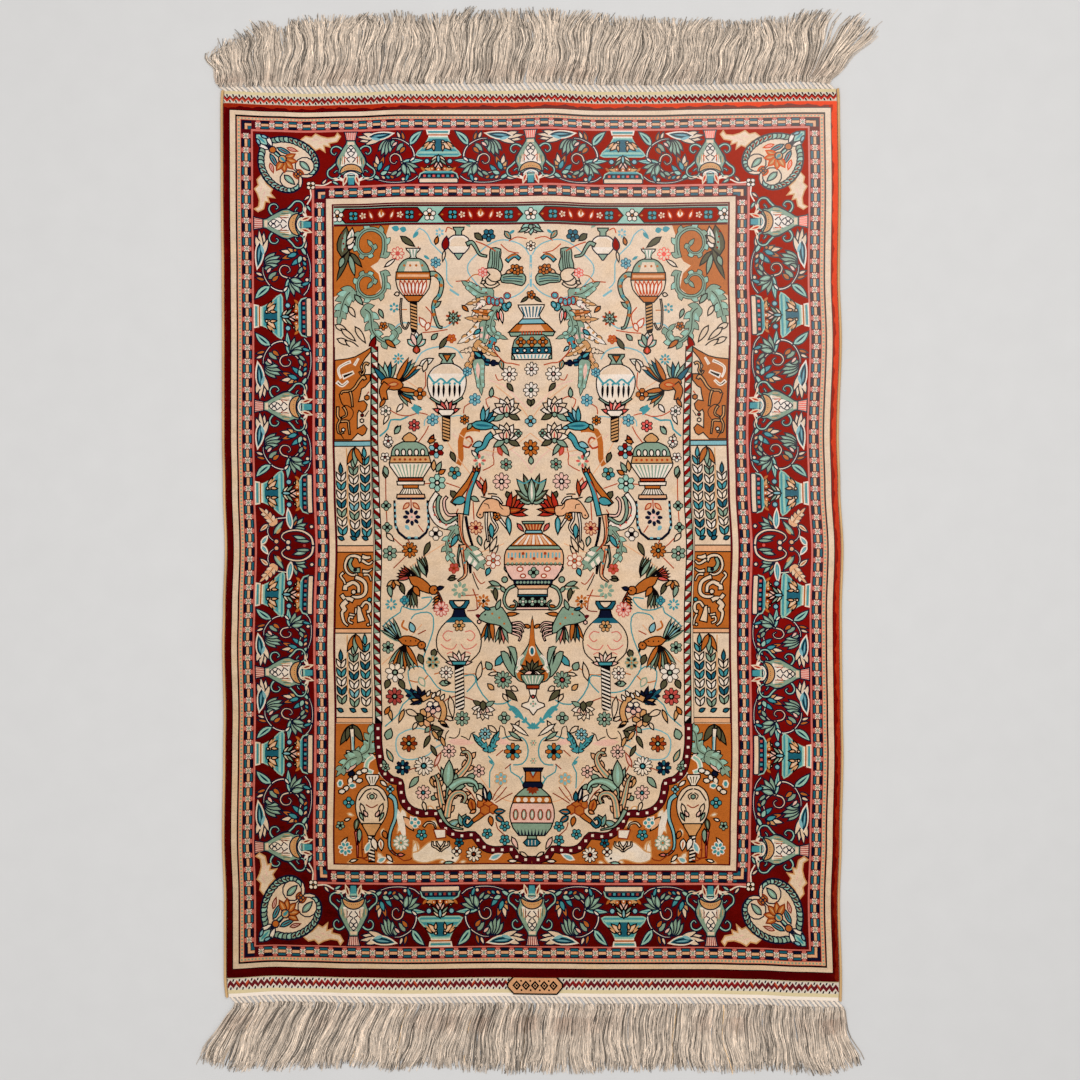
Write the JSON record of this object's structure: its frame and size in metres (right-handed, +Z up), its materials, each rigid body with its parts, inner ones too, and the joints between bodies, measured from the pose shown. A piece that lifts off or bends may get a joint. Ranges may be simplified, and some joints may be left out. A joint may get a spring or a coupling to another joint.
{
  "type": "kayseri silk rug",
  "caption": "Small knotted silk prayer rug lying flat: pile field and borders, flat-woven ends, overcast sides and a fringe of warp ends at top and bottom.",
  "frame": {"origin": "middle of the whole rug, fringes included, on the floor that it lies on", "axes": "+Z up out of the pile, +Y towards the rug's top end, +X to its right"},
  "size_m": [0.697, 1.0986, 0.0058],
  "materials": {
    "silk_pile": "clipped silk pile, soft sheen, crimson ground with cream, blue, green and orange knots",
    "binding_silk": "pale gold overcast silk",
    "fringe_silk": "silvery cream unspun silk warp ends"
  },
  "bodies": {
    "root": {"rug": "silk_pile", "selvedge_left": "binding_silk", "selvedge_right": "binding_silk", "fringe_top": "fringe_silk", "fringe_bottom": "fringe_silk"}
  },
  "joints": []
}
